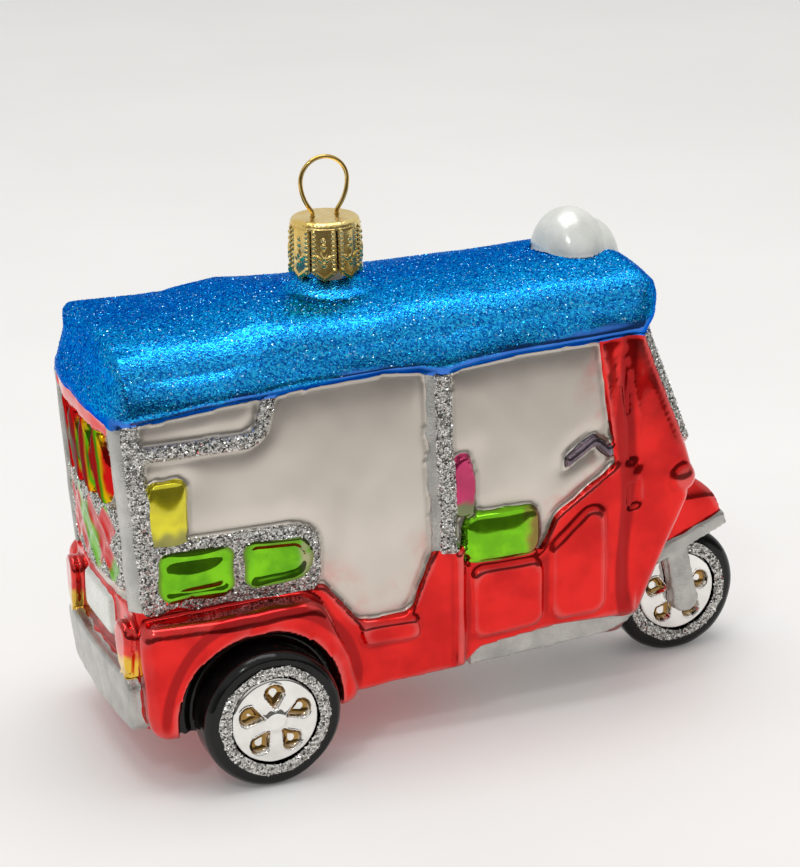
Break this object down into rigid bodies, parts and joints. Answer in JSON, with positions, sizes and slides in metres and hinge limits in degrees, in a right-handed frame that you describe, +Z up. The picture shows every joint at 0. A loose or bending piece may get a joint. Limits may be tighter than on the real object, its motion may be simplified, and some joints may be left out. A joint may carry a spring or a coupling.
{
  "type": "glass auto-rickshaw ornament",
  "caption": "Blown glass hanging ornament shaped as a three-wheeled auto-rickshaw with glittered roof, moulded cabin and wheels, crimped metal cap and wire hanging loop.",
  "frame": {"origin": "middle of the bounding box at floor level, under the three wheels", "axes": "+X towards the rickshaw's front wheel, +Y to its left, +Z up"},
  "size_m": [0.1298, 0.0614, 0.1056],
  "materials": {
    "red_lacquer": "translucent red lacquer over silvered glass, glossy",
    "pearl_white": "pearl white lacquer, satin gloss",
    "blue_glitter": "blue lacquer thickly dusted with fine glitter",
    "black_gloss": "black lacquer, glossy",
    "silver_glitter": "coarse silver glitter on glue",
    "silvered": "silvered glass, mirror bright",
    "matte_silver": "matte silver-grey lacquer",
    "lime_green": "lime green lacquer, glossy",
    "yellow": "yellow lacquer, glossy",
    "magenta": "magenta lacquer, glossy",
    "dark_purple": "dark purple lacquer, glossy",
    "lamp_red": "red and orange lacquer, glossy",
    "gold_metal": "bright gold-coloured embossed sheet and wire"
  },
  "bodies": {
    "glass": {"roof": "blue_glitter", "neck": "silvered", "roof_lamp": "pearl_white", "cabin": "pearl_white", "lower_body": "red_lacquer", "front_fairing": "red_lacquer", "rear_fenders": "red_lacquer", "side_mouldings": "red_lacquer", "wheel_arches": "black_gloss", "rear_tyres": "black_gloss", "rear_rims": "silver_glitter", "rear_hubs": "silvered", "front_tyre": "black_gloss", "front_rims": "silver_glitter", "front_hubs": "silvered", "front_mudguard": "red_lacquer", "mudguard_lip": "matte_silver", "fork_legs": "matte_silver", "centre_pillars": "silver_glitter", "rear_pillars": "silver_glitter", "pillar_flanks": "matte_silver", "upper_rails": "silver_glitter", "lower_rails": "silver_glitter", "rail_panes": "lime_green", "passenger_seats": "yellow", "driver_seats": "lime_green", "driver_backs": "magenta", "handlebars": "dark_purple", "windscreen": "pearl_white", "windscreen_frame": "silver_glitter", "headlamps": "lamp_red", "rear_window": "lime_green", "rear_lattice": "silver_glitter", "lattice_panes": "lime_green", "rear_trim": "red_lacquer", "tail_lamps": "lamp_red", "number_plate": "pearl_white", "rear_bumper": "matte_silver", "belly": "matte_silver"},
    "cap": {"cap": "gold_metal"},
    "hanger": {"hanger": "gold_metal"}
  },
  "joints": [
    {"name": "cap_turn", "type": "hinge", "parent": "glass", "child": "cap", "pos_m": [-0.0166, 0, 0.09], "axis": [0, 0, 1], "continuous": true},
    {"name": "hanger_pull", "type": "slide", "parent": "cap", "child": "hanger", "axis": [0, 0, 1], "range_m": [0, 0.0024]}
  ]
}
